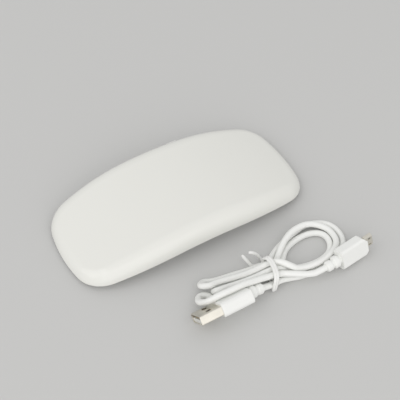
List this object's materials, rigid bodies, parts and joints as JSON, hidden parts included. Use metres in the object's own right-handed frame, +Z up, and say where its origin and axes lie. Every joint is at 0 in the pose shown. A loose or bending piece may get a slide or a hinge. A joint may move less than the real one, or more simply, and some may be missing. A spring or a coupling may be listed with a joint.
{
  "type": "nail curing lamp",
  "caption": "Arched slab-shaped UV nail lamp on two fold-out legs, with a push button, a charging socket and its detached USB cable tied in a hank.",
  "frame": {"origin": "bottom centre of the lamp, at the plane of its four rubber feet; the detached cable isn't counted", "axes": "+X along the lamp's length, +Y to the side with the push button and the charging socket, +Z up; the cable lies on the -Y side"},
  "size_m": [0.1376, 0.1094, 0.0185],
  "materials": {
    "shell_plastic": "high gloss, warm white",
    "cover_plastic": "satin, warm white",
    "leg_plastic": "satin, warm white",
    "button_plastic": "satin, white",
    "reflector": "bright",
    "white_board": "white solder mask on aluminium",
    "led_package": "diode packages with pale phosphor",
    "led_lens": "clear",
    "green_board": "solder mask",
    "black_parts": "matte",
    "screw_steel": "zinc plated",
    "pin_steel": "ground",
    "foot_rubber": "matte",
    "plug_metal": "nickel plated",
    "insert_plastic": "matte white",
    "contact_brass": "gold flash",
    "cable_plastic": "satin, warm white",
    "tie_plastic": "satin white",
    "wire_insulation": "satin"
  },
  "bodies": {
    "root": {"top_shell": "shell_plastic", "bottom_cover": "cover_plastic", "reflector_plate": "reflector", "led_board": "white_board", "uv_leds": "led_package", "led_lenses": "led_lens", "led_board_screws": "screw_steel", "control_board": "green_board", "control_board_screws": "screw_steel", "board_components": "black_parts", "micro_usb_socket": "plug_metal", "socket_tongue": "black_parts", "tact_switch": "black_parts", "led_wires": "wire_insulation", "cover_screws": "screw_steel", "hinge_pins": "pin_steel", "rubber_feet": "foot_rubber", "usb_a_shell": "plug_metal", "usb_a_insert": "insert_plastic", "usb_a_contacts": "contact_brass", "usb_a_grip": "cable_plastic", "usb_a_strain_relief": "cable_plastic", "micro_usb_shell": "plug_metal", "micro_usb_insert": "insert_plastic", "micro_usb_grip": "cable_plastic", "micro_usb_strain_relief": "cable_plastic", "twist_tie": "tie_plastic", "cord_usb_end": "cable_plastic", "cord_hank": "cable_plastic", "cord_micro_end": "cable_plastic"},
    "left_leg": {"left_leg": "leg_plastic"},
    "right_leg": {"right_leg": "leg_plastic"},
    "power_button": {"power_button": "button_plastic"}
  },
  "joints": [
    {"name": "left_leg_fold", "type": "hinge", "parent": "root", "child": "left_leg", "pos_m": [-0.052, 0, 0.0023], "axis": [0, 1, 0], "range_deg": [0, 90]},
    {"name": "right_leg_fold", "type": "hinge", "parent": "root", "child": "right_leg", "pos_m": [0.052, 0, 0.0023], "axis": [0, -1, 0], "range_deg": [0, 90]},
    {"name": "power_button_press", "type": "slide", "parent": "root", "child": "power_button", "axis": [0, -1, 0], "range_m": [0, 0.0004], "stiffness_N_per_m": 3000, "springref_m": -0.0001}
  ]
}
